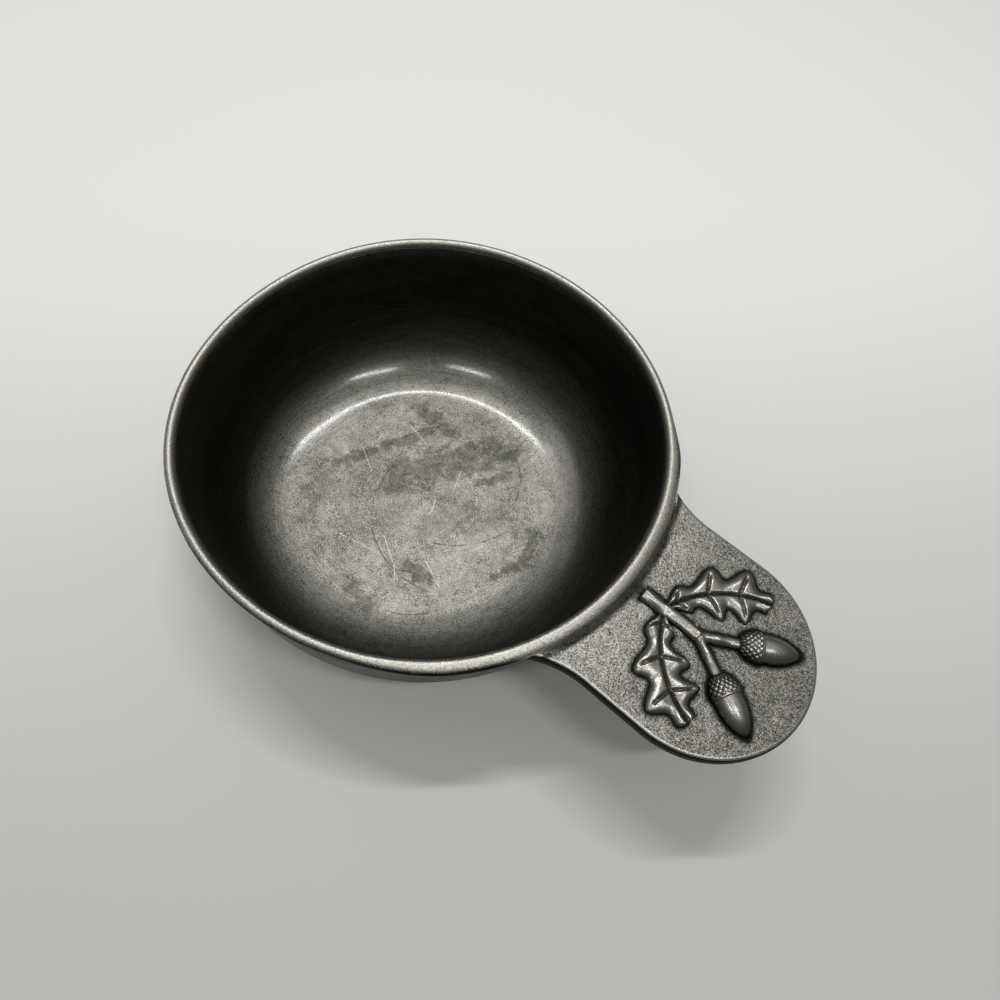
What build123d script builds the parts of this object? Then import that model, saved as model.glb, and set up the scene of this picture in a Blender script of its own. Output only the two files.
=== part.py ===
"""Pewter porringer: a round bowl with a wired lip and one flat ear handle that carries an oak sprig in relief.

Millimetres, +Z up. The origin is the middle of the base, on the table, and the ear points along +X.
"""
from build123d import *
from math import cos, pi, radians, sin, sqrt
import os

# Bowl
rim_diameter = 120.0        # across the outside of the rim wire
wire_diameter = 2.4         # the round wire on the lip
seat_drop = 0.7             # the wire's flat seat lies this far below its middle
wire_overhang = 0.1         # the seat stands past the wall's outside by this much
bowl_depth = 38.0           # from the wire's middle down to the middle of the inside floor
floor_diameter = 68.0       # the shallow dish of the inside floor, up to where the corner starts
floor_dish = 3.0            # degrees of the floor's slope at its edge
corner_radius = 23.0        # inside corner, where the floor turns up into the wall
corner_turn = 84.0          # degrees of the slope where the corner ends and the wall starts
wall = 2.0                  # thickness of the shell
base_inset = 1.0            # the flat base ends this far within the floor's edge

# Ear handle
tab_length = 44.9           # from the rim's outside to the tip
tab_width = 48.2
tab_thickness = 4.0
tab_drop = 0.8              # the ear's face lies this far below the wire's seat
tab_edge_round = 1.3        # rounding of the ear's upper and lower edges
edge_round_limit = 0.48     # largest share of the ear's thickness that one rounding takes
root_radius = 23.5          # hollow curve from the ear's side into the bowl
root_bite = 1.5             # that curve runs this far into the wall, so the root ends thick
solder_width = 2.5          # the solder's foot on the ear, past the rim
solder_height = 1.1         # how far the solder climbs from the ear to the wire

# Twig on the ear
sprig_gap = 4.4             # from the rim's outside to the twig's cut end
twig_length = 14.0          # from the cut end to the fork
twig_diameter = 3.8         # at the cut end
twig_taper = 1.2            # degrees that the twig's sides close in
twig_sink = 0.3             # the twig's middle lies this far under the ear's face
stalk_length = 9.2          # from the fork to an acorn's cup
stalk_diameter = 2.6
stalk_overlap = 2.5         # a stalk runs this far past the cup's end before the cup cuts it

# Acorns
acorn_splay = 30.0          # degrees between an acorn and the ear's middle line
acorn_sink = 0.9            # an acorn's axis lies this far under the ear's face
cup_diameter = 8.2
cup_length = 4.6
cup_back_diameter = 4.0     # the cup's end, on the stalk
nut_diameter = 7.2
nut_length = 9.6            # from the cup's lip to the nut's point
nut_socket = 1.4            # length of the nut inside its cup
nut_parallel = 1.2          # the straight part of the nut, past the cup's lip

# Leaves
leaf_along = 5.2            # from the twig's cut end to a leaf's root
leaf_length = 25.0          # along the midrib
leaf_width = 14.0           # across the widest lobes
leaf_height = 1.4
leaf_angle = 72.0           # degrees between the leaf's root and the ear's middle line
leaf_bend = 56.0            # degrees that the midrib turns towards the tip
leaf_lobes = 3              # lobes on each side, besides the one at the tip
lobe_depth = 0.5            # share of the width that is lost between two lobes
lobe_sweep = 0.3            # how far a lobe leans towards the tip, as a share of its reach
leaf_shoulder = 0.78        # the leaf's outline at the top, as a share of its foot
leaf_end_draw = 0.1         # share of that drawing in which the leaf's two ends take part
leaf_lean = 1.3             # above 1, the leaf is widest on the tip's side of its middle
leaf_fullness = 0.6         # below 1, the leaf's ends are fuller than an arch of a sine
points_per_lobe = 5         # points of the outline on each lobe

# Worked out from the sizes above
rim_radius = rim_diameter / 2
wire_radius = wire_diameter / 2
wire_mid_radius = rim_radius - wire_radius
wire_height = wall + bowl_depth
seat_height = wire_height - seat_drop
seat_half_width = sqrt(wire_radius**2 - seat_drop**2)
lip_outside = wire_mid_radius + seat_half_width - wire_overhang
lip_inside = lip_outside - wall
floor_radius = floor_diameter / 2
tab_top = seat_height - tab_drop
tab_half = tab_width / 2
edge_round = min(tab_edge_round, edge_round_limit * tab_thickness)
tip_centre = rim_radius + tab_length - tab_half
twig_start = rim_radius + sprig_gap
fork = twig_start + twig_length


def bowl_inside():
    """The filled half section of the bowl's hollow: a dished floor, the corner's arc and the wall's arc."""
    with BuildSketch(Plane.XZ) as section:
        with BuildLine():
            floor = JernArc((0, wall), (1, 0), floor_radius / sin(radians(floor_dish)), floor_dish)
            corner = JernArc(floor @ 1, floor % 1, corner_radius, corner_turn - floor_dish)
            side = TangentArc(corner @ 1, (lip_inside, wire_height), tangent=corner % 1)
            Polyline(side @ 1, (0, wire_height), floor @ 0)
        make_face()
    return section.sketch


def bowl_outside():
    """The filled half section within the bowl's outside: a flat base, the corner's arc and the wall's arc."""
    with BuildSketch(Plane.XZ) as section:
        with BuildLine():
            base = Line((0, 0), (floor_radius - base_inset, 0))
            corner = JernArc(base @ 1, (1, 0), corner_radius + wall, corner_turn)
            side = TangentArc(corner @ 1, (lip_outside, wire_height), tangent=corner % 1)
            Polyline(side @ 1, (0, wire_height), base @ 0)
        make_face()
    return section.sketch


def tab_outline(height, inset):
    """The ear from above: a round end, straight sides and two hollow curves that run into the wall."""
    half = tab_half - inset
    hollow = root_radius + inset
    root_circle = lip_outside - root_bite - inset
    root_y = half + hollow
    root_x = sqrt((root_circle + hollow)**2 - root_y**2)
    share = root_circle / (root_circle + hollow)
    with BuildSketch(Plane.XY.offset(height)) as outline:
        with BuildLine():
            end = CenterArc((tip_centre, 0), half, -90, 180)
            upper = Line(end @ 1, (root_x, half))
            left = TangentArc(upper @ 1, (root_x * share, root_y * share), tangent=(-1, 0))
            lower = Line(end @ 0, (root_x, -half))
            right = TangentArc(lower @ 1, (root_x * share, -root_y * share), tangent=(-1, 0))
            Line(left @ 1, right @ 1)
        make_face()
    return outline.sketch


def acorn_plane(side):
    """The plane of one acorn: its origin is the cup's end on the stalk, and its X runs along the acorn."""
    along = (cos(radians(acorn_splay)), side * sin(radians(acorn_splay)), 0)
    start = (fork + stalk_length * along[0], stalk_length * along[1], tab_top - acorn_sink)
    return Plane(origin=start, x_dir=along, z_dir=(0, 0, 1))


def leaf_point(side, share, across):
    """A point of a leaf, on the vein from a share of the midrib's length, at a distance across."""
    bend_radius = leaf_length / radians(leaf_bend)
    along = share + lobe_sweep * abs(across) / leaf_length
    heading = radians(leaf_angle - leaf_bend * along)
    root = radians(leaf_angle)
    x = twig_start + leaf_along + bend_radius * (sin(root) - sin(heading)) - across * sin(heading)
    y = bend_radius * (cos(heading) - cos(root)) + across * cos(heading)
    return (x, side * y)


def leaf_half_width(share):
    """Half the leaf's width: a long oval, drawn in between the lobes, with half a lobe at the tip."""
    oval = leaf_width / 2 * sin(pi * share**leaf_lean)**leaf_fullness
    lobes = cos(pi * (leaf_lobes + 1 / 2) * share)**2
    return oval * (1 - lobe_depth * lobes)


def leaf_outline(side, scale, height):
    """A lobed leaf outline at a height, drawn in towards the midrib by scale."""
    steps = points_per_lobe * (leaf_lobes + 1)
    first = leaf_end_draw * (1 - scale) / 2
    last = 1 - first
    shares = [first + (last - first) * k / steps for k in range(1, steps)]
    root = leaf_point(side, first, 0)
    tip = leaf_point(side, last, 0)
    outer = [leaf_point(side, s, scale * leaf_half_width(s)) for s in shares]
    inner = [leaf_point(side, s, -scale * leaf_half_width(s)) for s in shares]
    with BuildSketch(Plane.XY.offset(height)) as outline:
        with BuildLine():
            Spline(root, *outer, tip)
            Spline(root, *inner, tip)
        make_face()
    return outline.sketch


os.makedirs("parts", exist_ok=True)

# The bowl is one shell, trimmed level for the wire.
with BuildPart() as bowl_body:
    revolve(bowl_outside(), axis=Axis.Z)
    revolve(bowl_inside(), axis=Axis.Z, mode=Mode.SUBTRACT)
    split(bisect_by=Plane.XY.offset(seat_height), keep=Keep.BOTTOM)
bowl_body.part.label = "bowl_body"
export_step(bowl_body.part, "parts/bowl_body.step")

# The rim wire is round, with a flat seat on the lip.
with BuildPart() as rim_wire:
    with BuildSketch(Plane.XZ):
        with Locations((wire_mid_radius, wire_height)):
            Circle(wire_radius)
    revolve(axis=Axis.Z)
    split(bisect_by=Plane.XY.offset(seat_height), keep=Keep.TOP)
rim_wire.part.label = "rim_wire"
export_step(rim_wire.part, "parts/rim_wire.step")

# The ear is a plate with rounded edges, and its root is fitted to the wall.
with BuildPart() as handle_tab:
    extrude(tab_outline(tab_top - tab_thickness, 0), amount=tab_thickness)
    levels = handle_tab.edges().group_by(Axis.Z)
    edge_lines = levels[0].sort_by(Axis.X)[1:] + levels[-1].sort_by(Axis.X)[1:]
    fillet(edge_lines, radius=edge_round)
    revolve(bowl_outside(), axis=Axis.Z, mode=Mode.SUBTRACT)
handle_tab.part.label = "handle_tab"
export_step(handle_tab.part, "parts/handle_tab.step")

# The solder fills the corner between the wire, the wall and the ear's face.
with BuildPart() as handle_solder:
    with BuildSketch(Plane.XZ):
        with BuildLine():
            foot = Line((wire_mid_radius, tab_top), (rim_radius + solder_width, tab_top))
            cove = TangentArc(foot @ 1, (rim_radius, tab_top + solder_height), tangent=(-1, 0))
            Polyline(cove @ 1, (wire_mid_radius, tab_top + solder_height), foot @ 0)
        make_face()
    revolve(axis=Axis.Z)
    extrude(tab_outline(tab_top, edge_round), amount=solder_height, mode=Mode.INTERSECT)
    add(rim_wire.part, mode=Mode.SUBTRACT)
    revolve(bowl_outside(), axis=Axis.Z, mode=Mode.SUBTRACT)
handle_solder.part.label = "handle_solder"
export_step(handle_solder.part, "parts/handle_solder.step")

# Each nut lies half sunk in the ear's face, with its base in a cup.
nuts = {}
cups = {}
for side, hand in ((1, "left"), (-1, "right")):
    plane = acorn_plane(side)
    axis = Axis(plane.origin, plane.x_dir)
    with BuildPart() as acorn_nut:
        with BuildSketch(plane):
            with BuildLine():
                base = Polyline(
                    (cup_length - nut_socket, 0),
                    (cup_length - nut_socket, nut_diameter / 2),
                    (cup_length + nut_parallel, nut_diameter / 2),
                )
                crown = TangentArc(base @ 1, (cup_length + nut_length, 0), tangent=(1, 0))
                Line(crown @ 1, base @ 0)
            make_face()
        revolve(axis=axis)
        split(bisect_by=Plane.XY.offset(tab_top), keep=Keep.TOP)
    nuts[hand] = acorn_nut.part
    acorn_nut.part.label = f"acorn_nut_{hand}"
    export_step(acorn_nut.part, f"parts/acorn_nut_{hand}.step")

    with BuildPart() as acorn_cup:
        with BuildSketch(plane):
            with BuildLine():
                lip = Line((cup_length, 0), (cup_length, cup_diameter / 2))
                bell = TangentArc(lip @ 1, (0, cup_back_diameter / 2), tangent=(-1, 0))
                Polyline(bell @ 1, (0, 0), lip @ 0)
            make_face()
        revolve(axis=axis)
        split(bisect_by=Plane.XY.offset(tab_top), keep=Keep.TOP)
        add(nuts[hand], mode=Mode.SUBTRACT)
    cups[hand] = acorn_cup.part
    acorn_cup.part.label = f"acorn_cup_{hand}"
    export_step(acorn_cup.part, f"parts/acorn_cup_{hand}.step")

# The twig forks into two stalks, one to the back of each cup.
twig_height = tab_top - twig_sink
with BuildPart() as twig:
    with BuildSketch(Plane(origin=(twig_start, 0, twig_height), z_dir=(1, 0, 0))):
        Circle(twig_diameter / 2)
    extrude(amount=twig_length, taper=twig_taper)
    with Locations((fork, 0, twig_height)):
        Sphere(twig_diameter / 2)
    for side, hand in ((1, "left"), (-1, "right")):
        along = acorn_plane(side).x_dir
        with BuildSketch(Plane(origin=(fork, 0, twig_height), z_dir=along)):
            Circle(stalk_diameter / 2)
        extrude(amount=stalk_length + stalk_overlap)
    split(bisect_by=Plane.XY.offset(tab_top), keep=Keep.TOP)
    add(nuts.values(), mode=Mode.SUBTRACT)
    add(cups.values(), mode=Mode.SUBTRACT)
twig.part.label = "twig"
export_step(twig.part, "parts/twig.step")

# Each leaf is drawn in towards its top, and its root lies against the twig.
for side, hand in ((1, "left"), (-1, "right")):
    with BuildPart() as leaf:
        foot_line = leaf_outline(side, 1, tab_top)
        top_line = leaf_outline(side, leaf_shoulder, tab_top + leaf_height)
        loft([foot_line, top_line], ruled=True)
        add(twig.part, mode=Mode.SUBTRACT)
    leaf.part.label = f"leaf_{hand}"
    export_step(leaf.part, f"parts/leaf_{hand}.step")
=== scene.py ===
# %% [markdown]
# # A pewter porringer
# A porringer is a small round bowl with one flat ear to hold it by. This one is pewter: a shell with a
# shallow dished floor, a round wire along the lip, a cast ear, and an oak sprig in low relief on the ear.
# The solids of the part are loaded first and never touched. Each of them is then replaced by a finer
# surface in the same place, and the metal is dressed as the photograph shows it: worn grey on the floor,
# nearly black on the walls, patina and a painted dark reflection, bright along the rim.

import bmesh
import bpy
import numpy as np
from mathutils import Matrix, Quaternion, Vector


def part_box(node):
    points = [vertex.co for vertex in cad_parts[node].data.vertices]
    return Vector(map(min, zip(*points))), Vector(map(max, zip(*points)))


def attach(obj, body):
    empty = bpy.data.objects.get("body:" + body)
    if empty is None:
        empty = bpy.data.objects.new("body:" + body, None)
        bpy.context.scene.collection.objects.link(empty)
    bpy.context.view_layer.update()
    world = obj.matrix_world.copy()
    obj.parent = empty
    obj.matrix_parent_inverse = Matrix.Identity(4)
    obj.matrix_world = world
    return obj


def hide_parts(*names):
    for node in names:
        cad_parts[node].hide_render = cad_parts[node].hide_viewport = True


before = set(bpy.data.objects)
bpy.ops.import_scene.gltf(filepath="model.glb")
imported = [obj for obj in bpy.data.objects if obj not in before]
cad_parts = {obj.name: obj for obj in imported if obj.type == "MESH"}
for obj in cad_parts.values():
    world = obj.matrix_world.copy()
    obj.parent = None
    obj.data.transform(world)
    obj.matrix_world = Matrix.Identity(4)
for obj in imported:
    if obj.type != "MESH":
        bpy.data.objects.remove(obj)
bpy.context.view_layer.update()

mm = 0.001

# %% [markdown]
# ## Camera
# The photograph looks down into the bowl from close by, with a wide lens, so the far wall opens up and the
# near wall almost hides. A camera can be set by eye, but then every mark on the metal drifts. Here its
# place, its aim and its roll come from matching the rim's circle and the ear's outline, and the focal
# length is kept in pixels of a square picture, because that is what was matched.

# %% Camera
picture_pixels = 1000
focal_pixels = 720
camera_place = Vector((68.06, -69.02, 184.83)) * mm
camera_aim = Vector((26.41, -4.49, 40.00)) * mm
camera_roll = np.radians(8.74)

lens = bpy.data.cameras.new("camera")
lens.sensor_width = 36
lens.lens = lens.sensor_width * focal_pixels / picture_pixels
lens.clip_start = 10 * mm
camera = bpy.data.objects.new("camera", lens)
camera.location = camera_place
camera.rotation_mode = "QUATERNION"
level_turn = (camera_aim - camera_place).to_track_quat("-Z", "Y")
camera.rotation_quaternion = level_turn @ Quaternion((0, 0, 1), camera_roll)
bpy.context.scene.collection.objects.link(camera)
bpy.context.scene.camera = camera
bpy.context.view_layer.update()
aim_distance = (camera_aim - camera_place).length
print("lens", round(lens.lens, 2), "mm, distance to the aim", round(aim_distance / mm), "mm")


# %% Find a pixel's place on the object
def on_level(pixel, level):
    """The point where the ray through a pixel meets the plane z = level: the camera's place plus as much of
    the ray as takes it down to that level."""
    right, up, back = np.array(camera.matrix_world.to_3x3()).T
    across = (pixel[0] - picture_pixels / 2) / focal_pixels
    above = (picture_pixels / 2 - pixel[1]) / focal_pixels
    ray = across * right + above * up - back
    place = np.array(camera_place)
    return (place + ray * (level - place[2]) / ray[2])[:2]


picture_middle = (picture_pixels / 2, picture_pixels / 2)
print("middle of the picture, on the table, in mm:", on_level(picture_middle, 0) / mm)

# %% [markdown]
# ## Shader maths
# The light and the finishes are sums of masks: how far beyond the bowl, how near a scratch, how deep in a
# hollow. Wiring Math nodes by hand hides the sum, so a small class wraps a socket, and plain arithmetic on
# it adds the nodes.


# %% Shader values
class Value:
    """One socket of a node tree. Arithmetic on it adds Math nodes, and node() adds any other node."""

    def __init__(self, tree, socket=None):
        self.tree = tree
        self.socket = socket

    def node(self, kind, settings=None, sockets=None, out=0):
        """A new node of a kind: its settings first, then the values or links of its sockets."""
        made = self.tree.nodes.new(kind)
        for name, setting in (settings or {}).items():
            setattr(made, name, setting)
        for name, given in (sockets or {}).items():
            if isinstance(given, Value):
                self.tree.links.new(given.socket, made.inputs[name])
            else:
                made.inputs[name].default_value = given
        return Value(self.tree, made.outputs[out])

    def math(self, operation, *values):
        return self.node("ShaderNodeMath", {"operation": operation}, dict(enumerate(values)))

    def __add__(self, other):
        return self.math("ADD", self, other)

    def __radd__(self, other):
        return self.math("ADD", other, self)

    def __sub__(self, other):
        return self.math("SUBTRACT", self, other)

    def __rsub__(self, other):
        return self.math("SUBTRACT", other, self)

    def __mul__(self, other):
        return self.math("MULTIPLY", self, other)

    def __rmul__(self, other):
        return self.math("MULTIPLY", other, self)

    def __truediv__(self, other):
        return self.math("DIVIDE", self, other)

    def __abs__(self):
        return self.math("ABSOLUTE", self)

    def root(self):
        return self.math("SQRT", self)

    def most(self, other):
        return self.math("MAXIMUM", self, other)

    def least(self, other):
        return self.math("MINIMUM", self, other)

    def step(self, low, high):
        """0 where the value is at low, 1 where it is at high, smooth between them. Low may be the larger."""
        flip = low > high
        ends = {"Value": self, "From Min": min(low, high), "From Max": max(low, high)}
        ends.update({"To Min": float(flip), "To Max": float(not flip)})
        return self.node("ShaderNodeMapRange", {"interpolation_type": "SMOOTHSTEP"}, ends)

    def dot(self, direction):
        """How far a vector reaches along a direction."""
        settings = {"operation": "DOT_PRODUCT"}
        return self.node("ShaderNodeVectorMath", settings, {0: self, 1: direction}, out=1)

    def mix(self, share, first, second):
        """The first colour where share is 0 and the second where it is 1."""
        sockets = {0: share, 6: first, 7: second}
        return self.node("ShaderNodeMix", {"data_type": "RGBA"}, sockets, out=2)


# %% [markdown]
# ## Table and light
# The object stands on a pale table in a small light tent. The table's colour is darker on the camera's side,
# a painted shade that deepens the shadow there. Its lamps are bars in the tent's roof, one beyond
# the bowl and two on the camera's side, and their reflections are the bright arcs inside the bowl. The
# tent's cloth is the world: bright overhead, dimmer low down and behind the camera, so the shadow falls
# towards the camera.

# %% Table
table_size = 1.6
# painted shade: the table's colour darkens towards the camera, where the bowl's shadow falls
table_near_painted_shade = (0.61, 0.61, 0.593, 1)
table_far = (0.99, 0.99, 0.965, 1)
table_turn = 0.13                           # its colour changes between this far before and behind the bowl
table_roughness = 0.6
far_way = Vector((-0.7, 0.714, 0))          # from the bowl, away from the camera
side_way = Vector((0.714, 0.7, 0))          # to the right in the picture

half = table_size / 2
table_corners = [(-half, -half, 0), (half, -half, 0), (half, half, 0), (-half, half, 0)]
table_mesh = bpy.data.meshes.new("table")
table_mesh.from_pydata(table_corners, [], [(0, 1, 2, 3)])
table = bpy.data.objects.new("table", table_mesh)
bpy.context.scene.collection.objects.link(table)
table_paint = bpy.data.materials.new("table_paint")
table_paint.use_nodes = True
table_shader = table_paint.node_tree.nodes["Principled BSDF"]
table_shader.inputs["Roughness"].default_value = table_roughness
spot = Value(table_paint.node_tree).node("ShaderNodeTexCoord", out=3)
table_painted_shade = spot.mix(spot.dot(far_way).step(-table_turn, table_turn), table_near_painted_shade, table_far)
table_paint.node_tree.links.new(table_painted_shade.socket, table_shader.inputs["Base Color"])
table_mesh.materials.append(table_paint)
print("table", table_size, "m")

# %% World and lamps
tent_white = (1, 1, 0.985, 1)
side_strength = 0.15
roof_strength = 0.36
near_share = 0.25                           # roof light from behind the camera, as a share of the rest
roof_edge, roof_middle = 0.3, 1.0           # how steeply a ray points up at the roof's edge and at its middle
roof_near, roof_far = -0.6, 0.3             # how far it points away from the camera, as the roof brightens
roof_height = 1.0
bar_width = 0.035

world = bpy.data.worlds.new("tent")
world.use_nodes = True
tent_light = world.node_tree.nodes["Background"]
tent_light.inputs["Color"].default_value = tent_white
looking = Value(world.node_tree).node("ShaderNodeTexCoord")
overhead = looking.dot((0, 0, 1)).step(roof_edge, roof_middle)
facing_far = looking.dot(far_way).step(roof_near, roof_far)
strength = side_strength + roof_strength * overhead * (near_share + (1 - near_share) * facing_far)
world.node_tree.links.new(strength.socket, tent_light.inputs["Strength"])
bpy.context.scene.world = world


def lamp(name, start, end, brightness):
    """A bar in the tent's roof from one place to another, each given by how far aside and how far beyond the
    bowl it is, and tilted about its length to face the bowl. Its power is its brightness times pi times its
    area."""
    first, last = [side_way * aside + far_way * beyond for aside, beyond in (start, end)]
    along = (last - first).normalized()
    place = (first + last) / 2 + Vector((0, 0, roof_height))
    down = (along * along.dot(place) - place).normalized()
    data = bpy.data.lights.new(name, "AREA")
    data.shape = "RECTANGLE"
    data.size = (last - first).length
    data.size_y = bar_width
    data.energy = np.pi * brightness * data.size * data.size_y
    made = bpy.data.objects.new(name, data)
    made.location = place
    made.rotation_mode = "QUATERNION"
    made.rotation_quaternion = Matrix((along, along.cross(down), -down)).transposed().to_quaternion()
    bpy.context.scene.collection.objects.link(made)
    print(name, "at", [round(v, 3) for v in made.location], "with", round(data.energy, 2), "W")


lamp("far_bar", (0.27, 0.335), (-0.29, 0.35), 58.0)
lamp("near_bar_right", (0.37, -0.28), (0.12, -0.30), 56.0)
lamp("near_bar_left", (-0.20, -0.36), (-0.42, -0.27), 44.0)
bpy.context.scene.view_settings.view_transform = "Standard"

# %% [markdown]
# ## Surfaces from grids
# Every piece below is a grid of points that numpy works out at once: rows run one way over the surface,
# columns the other. One helper turns such a grid into a mesh. Points that fall together, at a pole or along
# a seam, are merged, and marks, which are numbers that the finishes read later, travel with the points.

# %% Grid to mesh
weld = 0.0004 * mm


def skin(name, points, close_rows=False, close_columns=False, **marks):
    """A mesh over a grid of points, rows by columns by xyz. Each cell is one face, and a closed way joins its
    last line to its first."""
    rows, columns = points.shape[:2]
    index = np.arange(rows * columns).reshape(rows, columns)
    if close_rows:
        index = np.concatenate([index, index[:1]])
    if close_columns:
        index = np.concatenate([index, index[:, :1]], axis=1)
    corners = [index[:-1, :-1], index[1:, :-1], index[1:, 1:], index[:-1, 1:]]
    faces = np.stack(corners, axis=-1).reshape(-1, 4)
    mesh = bpy.data.meshes.new(name)
    mesh.from_pydata(points.reshape(-1, 3).tolist(), [], faces.tolist())
    for mark, values in marks.items():
        field = mesh.attributes.new(mark, "FLOAT", "POINT")
        field.data.foreach_set("value", np.broadcast_to(values, (rows, columns)).astype(np.float32).ravel())
    shape = bmesh.new()
    shape.from_mesh(mesh)
    bmesh.ops.remove_doubles(shape, verts=shape.verts, dist=weld)
    bmesh.ops.recalc_face_normals(shape, faces=shape.faces)
    shape.to_mesh(mesh)
    shape.free()
    mesh.shade_smooth()
    piece = bpy.data.objects.new(name, mesh)
    bpy.context.scene.collection.objects.link(piece)
    print(name, len(mesh.vertices), "points", len(mesh.polygons), "faces")
    return piece


# %% Steps, grain and directions
lattice_size = 256


def smooth_step(value, low, high):
    """0 below low, 1 above high, and a smooth climb between them."""
    share = np.clip((value - low) / (high - low), 0, 1)
    return share * share * (3 - 2 * share)


def grain(u, v, size, seed):
    """Smooth random heights from -1 to 1: random numbers on a square lattice of that size, blended between
    its points by smooth steps."""
    lattice = np.random.default_rng(seed).uniform(-1, 1, (lattice_size, lattice_size))
    column, row = np.floor(u / size).astype(int), np.floor(v / size).astype(int)
    a = smooth_step(u / size - column, 0, 1)
    b = smooth_step(v / size - row, 0, 1)
    left, right = column % lattice_size, (column + 1) % lattice_size
    low, high = row % lattice_size, (row + 1) % lattice_size
    near = lattice[left, low] * (1 - a) + lattice[right, low] * a
    far = lattice[left, high] * (1 - a) + lattice[right, high] * a
    return near * (1 - b) + far * b


def unit(angle):
    """The direction at an angle: its cosine and its sine."""
    return np.stack([np.cos(angle), np.sin(angle)], axis=-1)


print("a smooth step at a quarter of its way:", smooth_step(0.25, 0, 1))

# %% [markdown]
# ## Bowl
# The bowl is turned: one line, carried round the axis, gives the whole shell. The line runs out over the
# floor, up the inside corner, along the wall to the lip, and back down the outside to the base. It could be
# a lathe object with a Screw modifier, but as an array the same line also tells each point whether it lies
# on the worn floor or on the dark wall.

# %% Bowl sizes
rim_low, rim_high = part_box("rim_wire")
rim_radius = rim_high.x
wire_radius = 1.2 * mm
wire_middle = rim_radius - wire_radius
wire_height = rim_high.z - wire_radius
seat_height = rim_low.z
wall = 2.0 * mm
floor_level = wall
floor_radius = 34 * mm
floor_dish = np.radians(3)
corner_radius = 23 * mm
corner_turn = np.radians(84)
base_radius = floor_radius - 1.0 * mm
lip_overhang = 0.1 * mm
lip_outside = wire_middle + np.sqrt(wire_radius**2 - (wire_height - seat_height)**2) - lip_overhang
lip_inside = lip_outside - wall
lip_waves = ((3, 0.26 * mm, np.radians(4)), (4, 0.28 * mm, np.radians(43)))
floor_shift = side_way * (-2.7 * mm) + far_way * (-0.95 * mm)
shift_full, shift_none = 4 * mm, 23 * mm    # heights where the whole shift holds and where it has run out
floor_count, corner_count, wall_count = 24, 40, 24
turns = 480
print("rim radius", round(rim_radius / mm, 2), "lip", round(lip_inside / mm, 2), round(lip_outside / mm, 2))


# %% Bowl line
def arc(centre, radius, start, end, count):
    """Points on a circle about a centre, from one angle to another."""
    return np.array(centre) + radius * unit(np.linspace(start, end, count))


def tangent_arc(start, heading, end, count):
    """The arc that leaves start along heading and ends at end. With phi the angle from the heading to the
    chord, its point at a share s lies at the chord's length times sin(s phi) / sin(phi), along the heading
    turned by s phi."""
    chord = end - start
    phi = np.arctan2(heading[0] * chord[1] - heading[1] * chord[0], heading @ chord)
    share = np.linspace(0, 1, count)
    reach = np.hypot(*chord) * share * np.sinc(share * phi / np.pi) / np.sinc(phi / np.pi)
    return start + reach[:, None] * unit(np.arctan2(heading[1], heading[0]) + share * phi)


def with_wall(bottom, corner, lip):
    """Half of a section as radius and height: a bottom, a corner and the wall's arc, cut level at the wire's
    seat."""
    side = tangent_arc(corner[-1], unit(corner_turn), np.array([lip, wire_height]), wall_count)
    line = np.concatenate([bottom, corner[1:], side[1:]])
    top = np.interp(seat_height, side[:, 1], side[:, 0])
    return np.concatenate([line[line[:, 1] < seat_height], [[top, seat_height]]])


def inside_line():
    """The bowl's inside, from the axis to the lip: a shallow dish, the corner's arc and the wall's arc."""
    dish_radius = floor_radius / np.sin(floor_dish)
    dish_middle = (0, floor_level + dish_radius)
    floor = arc(dish_middle, dish_radius, -np.pi / 2, floor_dish - np.pi / 2, floor_count)
    centre = floor[-1] + corner_radius * np.array([-np.sin(floor_dish), np.cos(floor_dish)])
    corner = arc(centre, corner_radius, floor_dish - np.pi / 2, corner_turn - np.pi / 2, corner_count)
    return with_wall(floor, corner, lip_inside)


def outside_line():
    """The bowl's outside, from the axis to the lip: a flat base, the corner's arc and the wall's arc."""
    base = np.stack([np.linspace(0, base_radius, floor_count), np.zeros(floor_count)], axis=-1)
    centre = (base_radius, corner_radius + wall)
    corner = arc(centre, corner_radius + wall, -np.pi / 2, corner_turn - np.pi / 2, corner_count)
    return with_wall(base, corner, lip_outside)


inside, outside = inside_line(), outside_line()
print("bowl line", len(inside), "points inside,", len(outside), "outside")


# %% Bowl
def hand_made(bearing):
    """How far the lip stands out from a true circle at a bearing: three slow waves and four, each about a
    quarter of a millimetre high, with their places taken from the rim in the photograph."""
    return sum(height * np.cos(count * (bearing + turn)) for count, height, turn in lip_waves)


def turned(line, within):
    """A line of radius and height carried round the axis: x and y are the radius times the cosine and sine.
    The unevenness of the lip fades out towards the base. The inside was finished a little off the axis, so
    low down, where within is 1, the middle is moved aside."""
    bearing = np.linspace(0, 2 * np.pi, turns, endpoint=False)[:, None]
    height = np.broadcast_to(line[None, :, 1], (turns, len(line)))
    radius = line[None, :, 0] + hand_made(bearing) * (height / seat_height)**2
    moved = within[None, :] * smooth_step(height, shift_none, shift_full)
    x = radius * np.cos(bearing) + moved * floor_shift.x
    y = radius * np.sin(bearing) + moved * floor_shift.y
    return np.stack([x, y, height], -1)


bowl_section = np.concatenate([inside, outside[::-1]])
within = np.concatenate([np.ones(len(inside)), np.zeros(len(outside))])
bowl_marks = {"within": within[None, :], "reach": bowl_section[None, :, 0]}
bowl = skin("bowl", turned(bowl_section, within), close_rows=True, **bowl_marks)

# %% [markdown]
# ## Rim wire
# The lip is thickened by a round wire. Its section is a circle with a flat seat, so the line is an arc from
# one end of the seat over the top to the other, and its inner flank runs straight down into the wall. A
# bevelled curve would be quicker, but hand work leaves the wire uneven: its radius dips here and there by a
# few hundredths of a millimetre, a fine score runs round its outer flank, and beside the ear that flank
# spreads out.

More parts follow.
